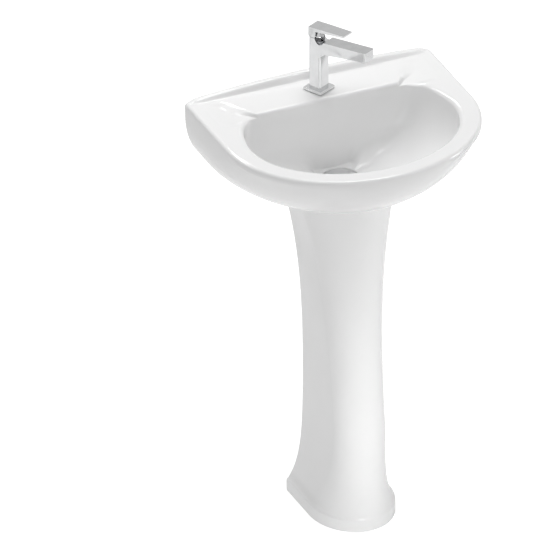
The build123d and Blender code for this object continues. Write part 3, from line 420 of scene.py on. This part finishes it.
def make_basin_look():
    window_turn = math.degrees(math.atan2(WALL_Y - BOWL_Y, WINDOW_HALF))
    angles = basin_turns(window_turn)
    rings = [round_ring(angles, radius, height) for radius, height in BOSS_RINGS]
    rings.append(d_ring(angles, UNDERSIDE_HALF - UNDERSIDE_EDGE,
                        FRONT_Y + UNDERSIDE_FRONT_INSET + UNDERSIDE_EDGE, WALL_Y, UNDERSIDE,
                        SIDE_END_Y + BELLY_STRAIGHT_LOSS))
    drop = RIM - SKIRT - UNDERSIDE
    levels = [(RIM - SKIRT - height) / drop for height in (WINDOW_TOP, WINDOW_LOW)]
    shares = [math.sin(math.pi / 2 * step / BELLY_STEPS) for step in range(BELLY_STEPS + 1)]
    shares = [share for share in shares if min(abs(share - level) for level in levels) > WINDOW_SHARE_ROOM]
    shares = sorted(shares + levels, reverse=True)
    rows = [len(rings) + shares.index(level) for level in (levels[1], levels[0])]
    turns = sorted(np.abs(angles - math.radians(turn)).argmin() for turn in (window_turn, 180 - window_turn))
    rings += belly_rings(angles, shares) + rim_rings(angles) + bowl_rings(angles)
    cut_window(rings, rows, turns)


def cut_window(rings, rows, turns):
    """The basin's mesh with the service window in its back and the room behind it."""
    count = len(rings[0])
    points = np.concatenate(rings)
    (low, high), (first, last) = rows, turns
    faces = []
    for number, face in enumerate(ring_faces(count, len(rings))):
        row, col = divmod(number, count)
        if not (low <= row < high and first <= col < last):
            faces.append(face)
    bottom = [low * count + col for col in range(first, last)]
    left = [row * count + last for row in range(low, high)]
    top = [high * count + col for col in range(last, first, -1)]
    right = [row * count + first for row in range(high, low, -1)]
    loop = bottom + left + top + right
    inner = points[loop]
    inner[:, 1] = WALL_Y - WINDOW_WALL
    start = len(points)
    size = len(loop)
    for k in range(size):
        after = (k + 1) % size
        faces.append((loop[k], loop[after], start + after, start + k))
    corners = []
    for y in (WALL_Y - WINDOW_WALL, POCKET_FRONT_Y):
        corners += [(POCKET_HALF, y, POCKET_LOW), (-POCKET_HALF, y, POCKET_LOW)]
        corners += [(-POCKET_HALF, y, POCKET_TOP), (POCKET_HALF, y, POCKET_TOP)]
    room = start + size
    marks = np.cumsum([0, len(bottom), len(left), len(top), len(right)])
    for k in range(4):
        side = [start + n % size for n in range(marks[k], marks[k + 1] + 1)]
        after = (k + 1) % 4
        faces.append((*side, room + after, room + k))
        faces.append((room + k, room + after, room + 4 + after, room + 4 + k))
    faces.append(tuple(room + 4 + k for k in range(4)))
    glazed_piece("basin_glazed", np.concatenate([points, inner, corners]), faces,
                 ("basin_deck", "basin_bowl", "basin_apron"))


def pedestal_path(half, centre, front, height):
    """The column's outline at a height, from its right back edge round the front to its left back edge."""
    side = np.linspace(0, 1, SIDE_POINTS)[:-1]
    turn = np.linspace(0, math.pi, NOSE_POINTS)
    right = np.stack([np.full(side.shape, half), PEDESTAL_BACK_Y + (centre - PEDESTAL_BACK_Y) * side], 1)
    nose = np.stack([half * np.cos(turn), centre - (centre - front) * np.sin(turn)], 1)
    left = right[::-1] * np.array([-1, 1])
    plan = np.concatenate([right, nose, left])
    return np.concatenate([plan, np.full((len(plan), 1), height)], 1)


def column_half(z):
    foot = FOOT_FLARE * math.exp(-(z - PLINTH_TOP) / FOOT_FLARE_HEIGHT)
    climb = max(0, z - WAIST_HEIGHT) / (UNDERSIDE - WAIST_HEIGHT)
    return WAIST_HALF + foot + TOP_FLARE * climb ** 3


def along_column(stations, z):
    """A value that runs through the foot's, the waist's and the top's as z climbs the column."""
    foot, waist, top = stations
    if z < WAIST_HEIGHT:
        return waist + (foot - waist) * ((WAIST_HEIGHT - z) / (WAIST_HEIGHT - PLINTH_TOP)) ** 2
    return waist + (top - waist) * (z - WAIST_HEIGHT) / (UNDERSIDE - WAIST_HEIGHT)


def make_pedestal_look():
    outer = [pedestal_path(half, NOSE_CENTRE_Y[0], front, z) for z, half, front in PLINTH_RINGS]
    for step in range(1, COLUMN_STEPS + 1):
        z = COLUMN_START + (UNDERSIDE - COLUMN_START) * (step / COLUMN_STEPS) ** COLUMN_STEP_POWER
        centre, front = along_column(NOSE_CENTRE_Y, z), along_column(NOSE_FRONT_Y, z)
        outer.append(pedestal_path(column_half(z), centre, front, z))
    inner = []
    for ring in reversed(outer):
        z = ring[0, 2]
        level = max(z, PLINTH_TOP)
        half = min(column_half(level), HOLLOW_HALF_LIMIT) - PEDESTAL_WALL
        centre, front = along_column(NOSE_CENTRE_Y, level), along_column(NOSE_FRONT_Y, level)
        inner.append(pedestal_path(half, centre, front + PEDESTAL_WALL, z))
    count = len(outer[0])
    rows = len(outer) + len(inner)
    faces = ring_faces(count, rows, loop=False)
    for col in (0, count - 1):
        for row in range(len(outer) - 1):
            across = rows - 1 - row
            corners = (row, row + 1, across - 1, across)
            faces.append(tuple(corner * count + col for corner in corners))
    glazed_piece("pedestal_glazed", np.concatenate(outer + inner), faces, ("pedestal",))


make_basin_look()
make_pedestal_look()

# Floor, light and camera
scene = bpy.context.scene
scene.view_settings.view_transform = "Standard"

FLOOR_REACH = 20
floor_mesh = bpy.data.meshes.new("floor")
floor_corners = [(x * FLOOR_REACH, y * FLOOR_REACH, 0) for x, y in ((-1, -1), (1, -1), (1, 1), (-1, 1))]
floor_mesh.from_pydata(floor_corners, [], [(0, 1, 2, 3)])
floor = bpy.data.objects.new("floor", floor_mesh)
scene.collection.objects.link(floor)
floor_mat, floor_nodes, floor_links, floor_shader = new_material("studio_floor")
floor_shader.inputs["Base Color"].default_value = (0.85, 0.85, 0.85, 1)
floor_shader.inputs["Roughness"].default_value = 0.9
floor_shader.inputs["Specular IOR Level"].default_value = 0.0
floor_shader.inputs["Emission Color"].default_value = (1, 1, 1, 1)
floor_path = floor_nodes.new("ShaderNodeLightPath")
add_range(floor_nodes, floor_links, floor_path.outputs["Is Camera Ray"], 0.20, 0.5,
          floor_shader.inputs["Emission Strength"])
floor.data.materials.append(floor_mat)

# The sky is darker at the horizon, and brighter where metal and glaze mirror it
SKY_LOW = (0.05, (0.45, 0.45, 0.45))
SKY_HIGH = (0.55, (0.86, 0.86, 0.86))
world = bpy.data.worlds.new("studio")
scene.world = world
world.use_nodes = True
world_nodes, world_links = world.node_tree.nodes, world.node_tree.links
background = world_nodes["Background"]
sky_where = world_nodes.new("ShaderNodeTexCoord")
sky_axes = world_nodes.new("ShaderNodeSeparateXYZ")
world_links.new(sky_where.outputs["Generated"], sky_axes.inputs["Vector"])
add_ramp(world_nodes, world_links, sky_axes.outputs["Z"], SKY_LOW, SKY_HIGH, background.inputs["Color"])
world_path = world_nodes.new("ShaderNodeLightPath")
add_range(world_nodes, world_links, world_path.outputs["Is Glossy Ray"], 0.53, 0.80,
          background.inputs["Strength"])


def area_light(name, place, aim, size, power, along=(1, 0, 0), spread=180):
    """A rectangular light with its long side along a direction."""
    light = bpy.data.lights.new(name, "AREA")
    light.shape = "RECTANGLE"
    light.size, light.size_y = size
    light.energy = power
    light.spread = math.radians(spread)
    obj = bpy.data.objects.new(name, light)
    behind = (Vector(place) - Vector(aim)).normalized()
    across = behind.cross(Vector(along)).normalized()
    side = across.cross(behind)
    turn = Matrix((side, across, behind)).transposed().to_4x4()
    obj.matrix_world = Matrix.Translation(place) @ turn
    scene.collection.objects.link(obj)


area_light("overhead", (0.0, 0.2, 3.2), (0, 0, 0.8), (2.4, 2.0), 8.5)
area_light("key", (0.45, 0.55, 3.1), (0, 0, 0.8), (1.0, 1.3), 19)
area_light("front_fill", (-0.5, -3.0, 1.3), (0, 0, 0.75), (2.0, 1.4), 13)
area_light("back_strip", (-0.55, 1.5, 2.45), (0, 0, 0.75), (2.6, 0.14), 17, along=(-2.27, 0, 1.28))
area_light("pedestal_front", (-0.12, -1.7, 0.24), (0.02, 0, 0.22), (0.4, 0.4), 0.46, spread=34)
area_light("right_fill", (2.2, -0.7, 0.8), (0.15, 0, 0.8), (0.6, 0.5), 0.32, along=(0, 1, 0), spread=24)

AZIMUTH = math.radians(-24.3)
ELEVATION = math.radians(30.4)
DISTANCE = 50.0
WIDTH_IN_VIEW = 1.039
SENSOR = 36
TARGET = Vector((-0.1290, 0.0383, 0.5044))
look = Vector((-math.sin(AZIMUTH) * math.cos(ELEVATION), math.cos(AZIMUTH) * math.cos(ELEVATION),
               -math.sin(ELEVATION)))
camera_data = bpy.data.cameras.new("camera")
camera_data.sensor_width = SENSOR
camera_data.lens = SENSOR * DISTANCE / WIDTH_IN_VIEW
camera_data.clip_end = 4 * DISTANCE
camera = bpy.data.objects.new("camera", camera_data)
camera.location = TARGET - look * DISTANCE
camera.rotation_euler = look.to_track_quat("-Z", "Y").to_euler()
scene.collection.objects.link(camera)
scene.camera = camera
